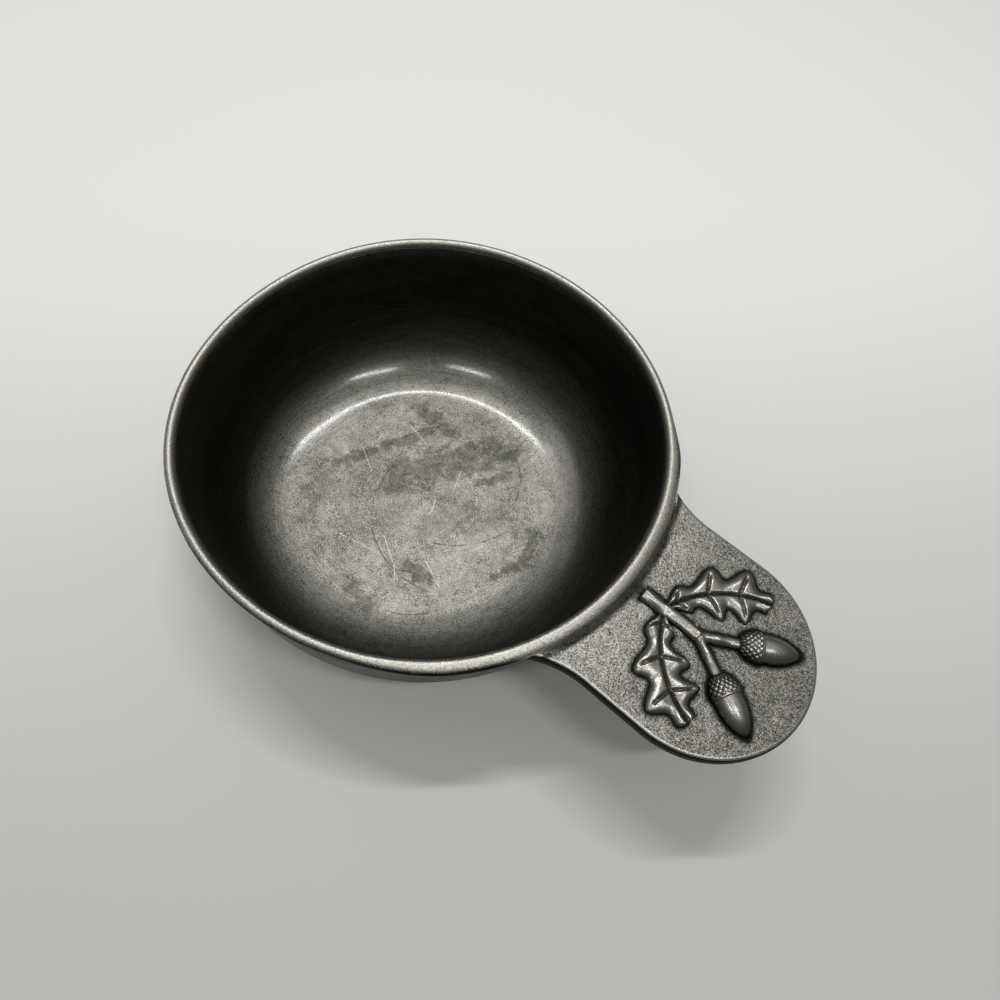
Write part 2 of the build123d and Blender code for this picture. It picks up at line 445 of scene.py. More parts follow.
# %% Rim wire
wire_columns = 44
rim_dip = 0.05 * mm
dip_length, dip_girth, dip_seed = 4 * mm, 2 * mm, 3
score_angle, score_width = np.radians(14), 0.10
score_depth = 0.08 * mm
flare_size, flare_power = 1.1 * mm, 1.5
ear_bearings = (-34, -26, 24, 32)           # degrees from the ear's middle, in the order of between()
flare_bearings = (-68, -42, 31, 46)


def between(bearing, begin, full, still, end):
    """0 up to begin, 1 from full to still, 0 again from end, with smooth steps."""
    return smooth_step(bearing, begin, full) * smooth_step(-bearing, -end, -still)


seat_angle = np.arcsin((wire_height - seat_height) / wire_radius)
over = np.linspace(-seat_angle, np.pi + seat_angle, wire_columns)[None, :]
around = np.linspace(0, 2 * np.pi, turns, endpoint=False)[:, None]
dips = 0.5 + 0.5 * grain(around * rim_radius + 0 * over, over * dip_girth, dip_length, dip_seed)
cut = np.exp(-((over - score_angle) / score_width)**2) + 0 * around
wire = wire_radius - rim_dip * dips - score_depth * cut
from_ear = np.degrees((around + np.pi) % (2 * np.pi) - np.pi)
flare = flare_size * between(from_ear, *flare_bearings)
out = np.cos(np.minimum(over, np.pi))
wire_reach = wire_middle + hand_made(around) + wire * out + flare * np.maximum(out, 0)**flare_power
wire_level = wire_height + wire * np.sin(over)
rim_points = np.stack([wire_reach * np.cos(around), wire_reach * np.sin(around), wire_level], -1)
rim_marks = {"inward": over / np.pi, "cut": cut, "at_ear": between(from_ear, *ear_bearings)}
rim = skin("rim", rim_points, close_rows=True, close_columns=True, **rim_marks)

# %% [markdown]
# ## Ear
# The ear is a flat casting with rounded edges. Its outline is a round end, two straight sides and two hollow
# curves that run into the bowl. A bevelled plate would do from afar, but the face keeps the fine unevenness
# of the sand it was cast in, so the surface is a grid as well: one way runs along the outline, the other
# from the ear's middle line over the face, round the edge and back along the underside.

# %% Ear outline
tab_low, tab_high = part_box("handle_tab")
tab_top, tab_bottom = tab_high.z, tab_low.z
tab_half = 24.1 * mm
tip_centre = tab_high.x - tab_half
hollow_radius = 23.5 * mm
root_bite = 1.5 * mm
root_circle = lip_outside - root_bite
hollow_y = tab_half + hollow_radius
hollow_x = np.sqrt((root_circle + hollow_radius)**2 - hollow_y**2)
root_angle = np.arctan2(hollow_y, hollow_x)
end_steps, side_steps, hollow_steps, root_steps = 109, 43, 65, 59


def ear_outline():
    """Points of the outline and their outward normals, from the middle of the tip round to it again: half the
    end's arc, a straight side, the hollow arc, the root's arc inside the bowl's wall, and the same on the
    other side."""
    end_normal = unit(np.linspace(0, np.pi / 2, end_steps + 1))
    end_points = np.array([tip_centre, 0]) + tab_half * end_normal
    side_x = np.linspace(tip_centre, hollow_x, side_steps + 1)[1:]
    side_points = np.stack([side_x, np.full_like(side_x, tab_half)], -1)
    side_normal = np.tile([0.0, 1.0], (side_steps, 1))
    hollow_normal = -unit(np.linspace(-np.pi / 2, root_angle - np.pi, hollow_steps + 1)[1:])
    hollow_points = np.array([hollow_x, hollow_y]) - hollow_radius * hollow_normal
    root_normal = -unit(np.linspace(root_angle, 0, root_steps + 1)[1:])
    root_points = -root_circle * root_normal
    points = np.concatenate([end_points, side_points, hollow_points, root_points])
    normals = np.concatenate([end_normal, side_normal, hollow_normal, root_normal])
    flip = np.array([1.0, -1.0])
    return [np.concatenate([half, half[-2:0:-1] * flip]) for half in (points, normals)]


outline, outward = ear_outline()
print("ear outline", len(outline), "points, tip at", round(outline[0, 0] / mm, 2), "mm")

# %% [markdown]
# ## Sprig
# Two oak leaves and two acorns grow from one twig. A flat stamp would look dead, so each is modelled as a
# form in the round that is half sunk in the ear. Leaves are a grid along and across the midrib, with veins
# pressed in. Acorns are turned about their own axis, and the cup gets its rows of scales. The twig is a
# smooth blend of three tubes.

# %% Leaf sizes
twig_start = rim_radius + 4.4 * mm
twig_length = 14.0 * mm
fork = twig_start + twig_length
leaf_root = twig_start + 5.2 * mm
leaf_length = 25.0 * mm
leaf_width = 14.0 * mm
leaf_height = 1.4 * mm
leaf_angle = np.radians(72)
leaf_bend = np.radians(56)
leaf_lobes = 3
lobe_depth = 0.5
lobe_sweep = 0.3
leaf_lean = 1.3
leaf_fullness = 0.6
shoulder_power = 2.6
midrib_width, vein_width = 0.42 * mm, 0.40 * mm
vein_depth, groove_depth = 0.8, 0.42
between_lobes = 0.72                        # the height between the lobes, as a share of that on them
sunk = 0.3 * mm
leaf_rows, leaf_columns, back_thinning = 170, 61, 4
print("leaf", leaf_length / mm, "by", leaf_width / mm, "mm, rooted at", round(leaf_root / mm, 1), "mm")


# %% Leaves
def leaf_half_width(share):
    """Half the leaf's width: a long oval, drawn in between the lobes, with half a lobe at the tip."""
    oval = leaf_width / 2 * np.sin(np.pi * np.clip(share, 0, 1)**leaf_lean)**leaf_fullness
    return oval * (1 - lobe_depth * np.cos(np.pi * (leaf_lobes + 0.5) * share)**2)


def leaf_place(side, share, across):
    """A point on the ear for a share of the midrib and a distance across it: the midrib is an arc, and the
    veins lean towards the tip."""
    bend_radius = leaf_length / leaf_bend
    heading = leaf_angle - leaf_bend * (share + lobe_sweep * np.abs(across) / leaf_length)
    x = leaf_root + bend_radius * (np.sin(leaf_angle) - np.sin(heading)) - across * np.sin(heading)
    y = bend_radius * (np.cos(heading) - np.cos(leaf_angle)) + across * np.cos(heading)
    return x, side * y


def leaf_form(share, part):
    """The leaf's height and its pressed-in veins, at a share along and a part across from -1 to 1: a rounded
    shoulder, fuller on the lobes, with grooves along the midrib and out into each lobe."""
    lobe = np.sin(np.pi * (leaf_lobes + 0.5) * share)**2
    shoulder = np.sqrt(np.clip(1 - np.abs(part)**shoulder_power, 0, 1))
    midrib = np.exp(-(part * leaf_half_width(share) / midrib_width)**2)
    lobe_middles = (2 * np.arange(leaf_lobes) + 1) / (2 * leaf_lobes + 1)
    apart = (share[..., None] - lobe_middles) * leaf_length
    veins = np.exp(-(apart / vein_width)**2).sum(-1) * smooth_step(0.85 - np.abs(part), 0, 0.25)
    groove = np.maximum(midrib * smooth_step(share, 0.0, 0.05), vein_depth * veins)
    puff = between_lobes + (1 - between_lobes) * lobe * smooth_step(np.abs(part), 0.05, 0.55)
    return leaf_height * shoulder * puff * (1 - groove_depth * groove), groove


def leaf(name, side):
    """One leaf: its formed top, and a flat back a little under the ear's face."""
    share = np.linspace(0, 1, leaf_rows)[:, None]
    part = np.linspace(-1, 1, leaf_columns)[None, :]
    share, part = np.broadcast_arrays(share, part)
    height, groove = leaf_form(share, part)
    x, y = leaf_place(side, share, part * leaf_half_width(share))
    top = np.stack([x, y, tab_top - sunk + height * (1 + sunk / leaf_height)], -1)
    bottom = np.stack([x, y, np.full_like(x, tab_top - sunk)], -1)[:, 1:-1][:, ::back_thinning]
    points = np.concatenate([top, bottom[:, ::-1]], axis=1)
    plain = np.zeros(bottom.shape[:2])
    lift, pressed = [np.concatenate([mark, plain], axis=1) for mark in (height / leaf_height, groove)]
    return skin(name, points, close_columns=True, lift=lift, pressed=pressed)


leaves = [leaf("leaf_left_relief", 1), leaf("leaf_right_relief", -1)]

# %% Nuts
stalk_length = 9.2 * mm
acorn_splay = np.radians(30)
acorn_sink = 0.9 * mm
cup_length = 4.6 * mm
nut_radius = 3.6 * mm
nut_length = 9.6 * mm
nut_parallel = 1.2 * mm
nut_tuck = 1.4 * mm                         # how far the nut reaches into its cup
nut_lines, line_power = 22, 8
line_depth, line_shade = 0.010, 0.35
tuck_rows, crown_rows, nut_columns = 12, 59, 49


def half_turned(side, along, radius, count):
    """A line turned about an acorn's axis, kept only above the ear: at each station the arc runs from one
    side of the ear's face over the top to the other."""
    deep = np.clip((acorn_sink - sunk) / np.maximum(radius, 1e-9), -1, 1)
    start = np.arcsin(deep)[..., :1]
    angle = start + (np.pi - 2 * start) * np.linspace(0, 1, count)[None, :]
    out = radius * np.cos(angle)
    height = tab_top - acorn_sink + radius * np.sin(angle)
    distance = stalk_length + along
    x = fork + distance * np.cos(acorn_splay) - out * np.sin(acorn_splay)
    y = side * (distance * np.sin(acorn_splay) + out * np.cos(acorn_splay))
    return np.stack([x, y, height], -1), angle


def nut(name, side):
    """The nut: a short straight part, then an arc to the point, with faint lengthwise lines."""
    straight = np.linspace(cup_length - nut_tuck, cup_length + nut_parallel, tuck_rows)
    crown_length = nut_length - nut_parallel
    crown_radius = (crown_length**2 + nut_radius**2) / (2 * nut_radius)
    crown = np.linspace(0, crown_length, crown_rows + 1)[1:]
    crown_out = nut_radius - crown_radius + np.sqrt(crown_radius**2 - crown**2)
    along = np.concatenate([straight, straight[-1] + crown])[:, None]
    crown_out = np.maximum(crown_out, acorn_sink - sunk)
    radius = np.concatenate([np.full(tuck_rows, nut_radius), crown_out])[:, None]
    angle = np.linspace(0, np.pi, nut_columns)[None, :]
    lines = 1 - line_depth * np.cos(nut_lines * angle)**line_power
    points, angle = half_turned(side, along, radius * lines, nut_columns)
    lift = (points[..., 2] - tab_top) / (nut_radius - acorn_sink)
    pressed = np.cos(nut_lines * angle)**line_power * line_shade
    return skin(name, points, close_columns=True, lift=lift, pressed=pressed)


nuts = [nut("acorn_nut_left_relief", 1), nut("acorn_nut_right_relief", -1)]

# %% Cups
cup_radius = 4.1 * mm
cup_back_radius = 2.0 * mm
cup_wall = 1.2 * mm
lip_round = 0.45 * mm
scale_pitch, scale_turn = 1.5 * mm, 2.6
scale_depth = 0.26 * mm
scale_end, scale_full = 0.5 * mm, 0.9 * mm  # from the lip, where the scales end and where they are whole
bell_rows, lip_rows, cup_columns = 56, 7, 73


def cup(name, side):
    """The cup: an arc from the stalk out to the lip, then a rounded lip back to the nut, with rows of scales
    that stand out where two slanting waves cross."""
    rise = cup_radius - cup_back_radius
    bell_radius = (cup_length**2 + rise**2) / (2 * rise)
    back = np.linspace(0, cup_length, bell_rows)
    bell = cup_radius - bell_radius + np.sqrt(bell_radius**2 - (cup_length - back)**2)
    bend = np.linspace(0, np.pi / 2, lip_rows + 1)[1:]
    lip_along = cup_length - lip_round + lip_round * np.sin(bend)
    lip_radius = cup_radius - lip_round * (1 - np.cos(bend))
    along = np.concatenate([back - lip_round, lip_along, lip_along[-1:]])[:, None]
    radius = np.concatenate([bell, lip_radius, [cup_radius - cup_wall]])[:, None]
    angle = np.linspace(0, np.pi, cup_columns)[None, :]
    slanting = [np.sin(np.pi * (along / scale_pitch + way * scale_turn * angle)) for way in (1, -1)]
    off_lip = smooth_step(cup_length - along, scale_end, scale_full)
    scales = np.sqrt(np.abs(slanting[0] * slanting[1])) * off_lip
    points = half_turned(side, along, radius - scale_depth * (1 - scales), cup_columns)[0]
    lift = (points[..., 2] - tab_top) / (cup_radius - acorn_sink)
    return skin(name, points, close_columns=True, lift=lift, pressed=(1 - scales) * off_lip)


cups = [cup("acorn_cup_left_relief", 1), cup("acorn_cup_right_relief", -1)]

# %% Twig
twig_radius = 1.9 * mm
twig_end_radius = 1.6 * mm
stalk_radius = 1.3 * mm
stalk_swell = 1.1                           # how much thicker a stalk is at the fork
stalk_tuck = 1.0 * mm                       # how far a stalk reaches into its cup
twig_sink = 0.3 * mm
twig_blend = 0.25 * mm
bark_depth, bark_width = 0.045, 0.34 * mm
bark_sway, sway_length = 1.5, 2.1 * mm
knot_height, knot_place, knot_length = 0.10, 0.42, 0.9 * mm
end_squareness = 3
behind_twig, past_fork, beside_twig = 1.2 * mm, 8.8 * mm, 6.6 * mm
twig_rows, twig_columns, bed_thinning = 190, 112, 8


def tube_height(x, y, start, heading, length, radius_start, radius_end):
    """The height of a lying tube over the ear at each point: the root of its radius squared less the distance
    from its middle line squared, falling away past its two ends."""
    along = (x - start) * np.cos(heading) + y * np.sin(heading)
    across = y * np.cos(heading) - (x - start) * np.sin(heading)
    share = np.clip(along / length, 0, 1)
    radius = radius_start + (radius_end - radius_start) * share
    past = np.maximum(np.maximum(-along, along - length), 0)
    gone = np.sqrt(across**2 + (end_squareness * past)**2)
    bark = 1 + bark_depth * np.sin(across / bark_width + bark_sway * np.sin(along / sway_length))
    knots = 1 + knot_height * np.exp(-((along - knot_place * length) / knot_length)**2)
    reach = radius * bark * knots
    inside_tube = np.sqrt(np.clip(reach**2 - gone**2, 0, None))
    return np.where(gone < reach, inside_tube, -(gone - reach))


def twig_piece():
    """A level grid over the twig whose height is the smooth maximum of three tubes: a soft blend of their
    heights at the fork. Away from the tubes it dips under the ear's face."""
    x_line = np.linspace(twig_start - behind_twig, fork + past_fork, twig_rows)
    y_line = np.linspace(-beside_twig, beside_twig, twig_columns)
    x, y = np.meshgrid(x_line, y_line, indexing="ij")
    tubes = [tube_height(x, y, twig_start, 0, twig_length, twig_radius, twig_end_radius)]
    stalk = (stalk_length + stalk_tuck, stalk_radius * stalk_swell, stalk_radius)
    tubes += [tube_height(x, y, fork, side * acorn_splay, *stalk) for side in (1, -1)]
    height = twig_blend * np.log(np.exp(np.stack(tubes) / twig_blend).sum(0))
    height = np.maximum(height - twig_sink, -sunk)
    bed = tab_top - 2 * sunk
    top = np.stack([x, y, tab_top + height], -1)
    low = np.stack([x, y, np.full_like(x, bed)], -1)
    points = np.concatenate([top, low[:, ::-1][:, ::bed_thinning]], axis=1)
    ends = points[[0, -1]]
    ends[..., 2] = bed
    points = np.concatenate([ends[:1], points, ends[1:]])
    lift = (points[..., 2] - tab_top) / (twig_radius - twig_sink)
    return skin("twig_relief", points, close_columns=True, lift=lift, pressed=0.0)


twig = twig_piece()
sprig = [*leaves, *nuts, *cups, twig]

# %% [markdown]
# ## Ear surface
# With the sprig in place, the ear's face can tell how near each of its points is to it. That distance becomes
# a mark: the dark patina gathers in the corner between the face and the relief, as it does on any piece that
# is rubbed clean. It could be baked as ambient occlusion, but a plain distance is exact and needs no image.

# %% Distance to the sprig
foot_level, foot_reach = 0.03 * mm, 0.32 * mm
block_count = 400


def sprig_footprint():
    """Points of the sprig that lie near the ear's face."""
    found = []
    for piece in sprig:
        spots = np.empty(len(piece.data.vertices) * 3, np.float32)
        piece.data.vertices.foreach_get("co", spots)
        spots = spots.reshape(-1, 3)
        near = np.abs(spots[:, 2] - tab_top - foot_level) < foot_reach
        found.append(spots[near][::2, :2])
    return np.concatenate(found)


def distance_to(points, targets):
    """The distance from each point to the nearest target, worked out a block of points at a time."""
    blocks = np.array_split(points.reshape(-1, 2), block_count)
    nearest = [np.sqrt(((block[:, None] - targets[None])**2).sum(-1).min(1)) for block in blocks]
    return np.concatenate(nearest).reshape(points.shape[:2])


footprint = sprig_footprint()
print("sprig's footprint", len(footprint), "points")

# %% Ear surface
edge_round = 1.3 * mm
root_taper = 0.6                            # how fast the rounding grows away from the root's arc
edge_squareness = 0.72
face_rows, edge_rows, back_rows = 58, 18, 14
face_crowding = 0.85
sand_size, sand_height = 0.42 * mm, 0.035 * mm
sand_seed, fine_sand_seed = 5, 6
sand_fade = 0.04
crevice_width = 0.8 * mm
spine_start = root_circle / np.cos(root_angle)  # here the tangent at the root's end meets the middle line

from_axis = np.hypot(outline[:, 0], outline[:, 1])
rounding = np.clip(root_taper * (from_axis - root_circle), 0, edge_round)[:, None]
spine = np.stack([np.clip(outline[:, 0], spine_start, tip_centre), np.zeros(len(outline))], -1)
inset = outline - outward * rounding
share = np.linspace(0, 1, face_rows)[None, :, None]**face_crowding
face = spine[:, None] * (1 - share) + inset[:, None] * share
bend = np.linspace(0, np.pi, edge_rows)[None, 1:-1]
swell = np.sin(bend)**edge_squareness
fall = np.sign(np.cos(bend)) * np.abs(np.cos(bend))**edge_squareness
edge = inset[:, None] + (outward * rounding)[:, None] * swell[..., None]
edge_height = (tab_top + tab_bottom) / 2 + (tab_top - tab_bottom) / 2 * fall + 0 * rounding
back_share = np.linspace(1, 0, back_rows)[None, :, None]
back = spine[:, None] * (1 - back_share) + inset[:, None] * back_share
sand = grain(face[..., 0], face[..., 1], sand_size, sand_seed)
sand = sand + 0.5 * grain(face[..., 0], face[..., 1], sand_size / 2, fine_sand_seed)
sand = sand * sand_height * smooth_step(1 - share[..., 0], 0, sand_fade)
face_height = tab_top + np.minimum(sand - sand_height, 0)
flat_points = np.concatenate([face, edge, back], axis=1)
heights = np.concatenate([face_height, edge_height, np.full(back.shape[:2], tab_bottom)], axis=1)
ear_points = np.concatenate([flat_points, heights[..., None]], axis=-1)
crevice = np.zeros(heights.shape)
crevice[:, :face_rows] = np.exp(-distance_to(face, footprint) / crevice_width)
rounded = np.zeros(heights.shape)
rounded[:, face_rows:-back_rows] = bend / np.pi
rounded[:, -back_rows:] = 1
ear = skin("ear", ear_points, close_rows=True, crevice=crevice, rounded=rounded)

# %% [markdown]
# ## Solder
# A thin run of solder fills the corner between the wire and the ear. A fillet of the two meshes would need
# them joined, so it is a surface of its own: a hollow slope from the ear's face up to the wire's shoulder,
# carried along the rim and drawn in towards both ends.

# %% Solder
solder_spread = 1.7 * mm
solder_middle = 1.25 * mm                   # how far outside the rim the solid's ends are measured
solder_share = 0.96                         # how much of the solid's length the surface takes
solder_lap, solder_rise = 0.5 * mm, 0.5 * mm
solder_sink, solder_bed = 0.06 * mm, 0.2 * mm
solder_bite = 0.8 * mm
end_power, slope_power = 6, 1.3
run_rows, slope_columns = 180, 14

solder_reach = solder_share * np.arcsin(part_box("handle_solder")[1].y / (rim_radius + solder_middle))
run = np.linspace(-1, 1, run_rows)[:, None]
fade = np.sqrt(np.clip(1 - run**end_power, 0, 1))
slope = np.linspace(0, 1, slope_columns)[None, :]
climb = wire_height + solder_rise - tab_top
cove_reach = rim_radius + solder_lap + fade * solder_spread * (1 - slope)
cove_height = tab_top - solder_sink + fade * climb * slope**slope_power
cove_reach = np.concatenate([cove_reach, np.full_like(run, rim_radius - solder_bite)], axis=1)
cove_height = np.concatenate([cove_height, np.full_like(run, tab_top - solder_bed)], axis=1)
bearing = run * solder_reach
solder_points = np.stack([cove_reach * np.cos(bearing), cove_reach * np.sin(bearing), cove_height], -1)
ends = np.repeat(solder_points[[0, -1]].mean(axis=1, keepdims=True), slope_columns + 1, axis=1)
solder = skin("solder", np.concatenate([ends[:1], solder_points, ends[1:]]), close_columns=True)

# %% [markdown]
# ## Pewter
# All the pieces are the same metal, and what differs is its surface. A painted image could show that, but
# noise and masks stay sharp at any distance. One class starts a finish: a metal shader, the object's
# coordinates, and helpers for noise, for marks and for mixing colours.

# %% Pewter base
pewter_light = (0.500, 0.487, 0.437, 1)
pewter_dark = (0.044, 0.043, 0.037, 1)
# the two patina colours are patina, and also serve as painted shade and as the painted dark reflection of the
# inner walls
patina_and_shade_black = (0.010, 0.010, 0.009, 1)
patina_and_shade_brown = (0.096, 0.093, 0.078, 1)
outside_dark = (0.044, 0.041, 0.033, 1)
outside_light = (0.190, 0.182, 0.156, 1)
near_from, near_full = -8 * mm, -46 * mm    # beyond the axis, where the camera's side begins and is full


class Finish:
    """A metal finish under way: its material, its coordinates and the helpers that the finishes share."""

    def __init__(self, name):
        self.material = bpy.data.materials.new(name)
        self.material.use_nodes = True
        self.tree = self.material.node_tree
        self.shader = self.tree.nodes["Principled BSDF"]
        self.shader.inputs["Metallic"].default_value = 1.0
        self.value = Value(self.tree)
        self.mix = self.value.mix
        self.place = self.value.node("ShaderNodeTexCoord", out=3)
        parts = [self.value.node("ShaderNodeSeparateXYZ", sockets={0: self.place}, out=k) for k in range(3)]
        self.x, self.y, self.z = parts
        self.radius = (self.x * self.x + self.y * self.y).root()

    def mark(self, name):
        """A number that the mesh carries on its points."""
        return self.value.node("ShaderNodeAttribute", {"attribute_name": name}, out=2)

    def noise(self, size, detail, roughness, place=None):
        """Noise from 0 to 1 with spots of about that size in metres."""
        sockets = {"Vector": place or self.place, "Scale": 1 / size, "Detail": detail, "Roughness": roughness}
        return self.value.node("ShaderNodeTexNoise", sockets=sockets)

    def vector(self, x, y, z):
        return self.value.node("ShaderNodeCombineXYZ", sockets={0: x, 1: y, 2: z})

    def near_side(self):
        """1 on the camera's side of the bowl, 0 on the far side."""
        return self.place.dot(far_way).step(near_from, near_full)

    def past_rim(self, low, high):
        """A step over the distance outside the rim."""
        return self.radius.step(rim_radius + low, rim_radius + high)

    def pewter(self, tone):
        """Bare metal, dull where tone is 0 and bright where it is 1."""
        return self.mix(tone, pewter_dark, pewter_light)

    def done(self, colour, roughness, height, depth):
        """Links the colour, the roughness and a bump of that depth, and gives the material."""
        bump = self.value.node("ShaderNodeBump", sockets={"Height": height, "Distance": depth})
        for name, given in (("Base Color", colour), ("Roughness", roughness), ("Normal", bump)):
            self.tree.links.new(given.socket, self.shader.inputs[name])
        print("finish", self.material.name, "with", len(self.tree.nodes), "nodes")
        return self.material


# %% [markdown]
# ## Marks on the floor
# The bowl's floor carries the marks of spoons and a few stains. They could be painted on an image, but here
# each is a stroke: the distance from a point to a short straight line, sharp for a scratch, wide and ragged
# for a stain. The curved scores are arcs through three points. All are given by pixels of the photograph,
# which the camera puts on the floor.

# %% Where the marks are
scratch_pixels = [((363, 448), (372, 472)), ((410, 426), (429, 447)), ((461, 472), (453, 492)),
                  ((340, 534), (376, 552)), ((384, 536), (393, 563)), ((394, 564), (395, 581)),
                  ((426, 562), (440, 589)), ((383, 434), (377, 443)), ((436, 500), (430, 514))]
score_pixels = [((372, 505), (381, 483), (393, 465)), ((375, 452), (408, 436), (446, 426)),
                ((516, 461), (520, 483), (516, 501)), ((429, 542), (470, 545), (507, 532)),
                ((372, 525), (391, 567), (420, 589)), ((385, 611), (412, 616), (440, 610))]
# a stain also has its half width in mm and its strength
stain_pixels = [((398, 472), (500, 455), 6.5, 0.42), ((418, 408), (452, 434), 2.4, 0.42),
                ((470, 446), (514, 459), 1.9, 0.60), ((478, 484), (508, 476), 1.6, 0.42),
                ((338, 464), (368, 452), 2.2, 0.52), ((388, 444), (430, 432), 1.8, 0.45),
                ((408, 565), (423, 582), 2.5, 0.50), ((534, 538), (522, 564), 2.6, 0.56),
                ((520, 567), (494, 577), 1.7, 0.50), ((350, 588), (368, 604), 2.9, 0.42),
                ((306, 490), (326, 476), 2.6, 0.28), ((302, 520), (318, 500), 1.2, 0.30),
                ((428, 524), (500, 520), 5.0, 0.18)]
print(len(scratch_pixels), "scratches,", len(score_pixels), "scores,", len(stain_pixels), "stains")


# %% Strokes and scores
def stroke(finish, start, end):
    """The distance to the straight line from start to end, and the share along it: how far along it the
    nearest point lies, held between the two ends, and then the length of what is left."""
    reach = end - start
    dx, dy = finish.x - start[0], finish.y - start[1]
    along = (dx * reach[0] + dy * reach[1]) / (reach @ reach)
    along = along.most(0.0).least(1.0)
    ax, ay = dx - along * reach[0], dy - along * reach[1]
    return (ax * ax + ay * ay).root(), along


def circle_through(a, b, c):
    """The middle and the radius of the circle through three points, from the two lines that halve its
    chords."""
    sides = 2 * np.array([b - a, c - a])
    middle = np.linalg.solve(sides, [b @ b - a @ a, c @ c - a @ a])
    return middle, np.hypot(*(b - middle))


def score(finish, a, b, c, width):
    """A mask that is 1 on the thin arc from a through b to c: near the circle's radius, and no further round
    from b than its ends are."""
    middle, radius = circle_through(a, b, c)
    dx, dy = finish.x - middle[0], finish.y - middle[1]
    away = (dx * dx + dy * dy).root()
    to_b = (b - middle) / radius
    facing = (dx * to_b[0] + dy * to_b[1]) / away
    ends = min((a - middle) @ to_b, (c - middle) @ to_b) / radius
    return abs(away - radius).step(width, 0.2 * width) * facing.step(ends, 0.7 * ends + 0.3)


def most_of(masks):
    """The largest of several masks at each point."""
    found = masks[0]
    for mask in masks[1:]:
        found = found.most(mask)
    return found


# %% Marks on the floor
scratch_edge, scratch_core = 0.15 * mm, 0.04 * mm
score_half_width = 0.28 * mm
hairline_length, hairline_width = 7 * mm, 0.16 * mm
hairline_turns = ((15, 1.0), (-38, 4.0), (75, 9.0))  # a direction in degrees and a place in the noise


def on_floor(pixel):
    return on_level(pixel, floor_level)


def floor_marks(finish, ragged):
    """Three masks on the bowl's floor: bright scratches, dark curved scores and ragged stains."""
    scratches = []
    for start, end in scratch_pixels:
        distance, along = stroke(finish, on_floor(start), on_floor(end))
        scratches.append(distance.step(scratch_edge, scratch_core) * (1 - 0.5 * along))
    scores = [score(finish, *map(on_floor, places), score_half_width) for places in score_pixels]
    stains = []
    for start, end, width, strength in stain_pixels:
        distance = stroke(finish, on_floor(start), on_floor(end))[0]
        edge = distance + (ragged - 0.5) * ((4 + 4 * width) * mm)
        stains.append(edge.step(width * 1.15 * mm, width * 0.45 * mm) * strength)
    return most_of(scratches), most_of(scores) * ragged.step(0.38, 0.54), most_of(stains)


def hairlines(finish, turn, seed):
    """A mask of faint straight rubbing lines: noise drawn out along one direction, kept where it is
    highest."""
    cosine, sine = unit(np.radians(turn))
    along = (finish.x * cosine + finish.y * sine) / hairline_length
    across = (finish.y * cosine - finish.x * sine) / hairline_width
    return finish.noise(1.0, 1, 0.5, place=finish.vector(along, across, seed)).step(0.60, 0.78)


# %% [markdown]
# ## Bowl finish
# The floor has been scoured for years and is a pale satin grey. The walls kept their black patina, inside and
# out; inside, that near black is also a painted dark reflection, and the top of the inner wall is lighter
# along the lip by wear and a painted sheen, most on the camera's side. The smooth corner between floor and
# walls has a thin polish, where the lamps show as bright arcs. The change follows the bowl's own shape, so
# it is painted by radius, with some noise to make its edge uneven. At the right a band further up is
# rubbed as well.

# %% Where the bowl is worn
def spooned_band(finish, reach, middling):
    """1 on the rubbed band at the right of the floor, with an uneven outer edge."""
    uneven = reach + (middling - 0.5) * (2 * mm)
    return finish.place.dot(side_way).step(20 * mm, 42 * mm) * uneven.step(48 * mm, 43.5 * mm)


def scoured(finish, reach, near_side, middling, broad):
    """1 on the floor and 0 high on the wall. The change lies further out at the right and on the near side,
    and further in on the far side."""
    far_side = finish.place.dot(far_way).step(18 * mm, 44 * mm)
    edge = reach - 0.08 * finish.place.dot(side_way).most(0.0) - 4 * mm * near_side + 3 * mm * far_side
    edge = edge + (broad - 0.5) * (6 * mm) + (middling - 0.5) * (3 * mm)
    return edge.step(52 * mm, 31 * mm)


def outer_wall(finish, fine, middling, broad):
    """The bowl's outside: a brown-black patina, black under the wire, where dirt gathers and a painted shade
    falls.
    """
    tone = (0.5 + 0.9 * (fine - 0.5) + 1.2 * (middling - 0.5) + 0.7 * (broad - 0.5)).step(0.1, 0.9)
    # painted shade and dirt: black on the wall just under the wire
    dirt_and_shade_edge = finish.z + (middling - 0.5) * (4 * mm) + (broad - 0.5) * (4 * mm)
    dirt_and_shade_under_wire = dirt_and_shade_edge.step(seat_height - 7.5 * mm, seat_height - 2.5 * mm)
    return finish.mix(dirt_and_shade_under_wire, finish.mix(tone, outside_dark, outside_light), patina_and_shade_black)


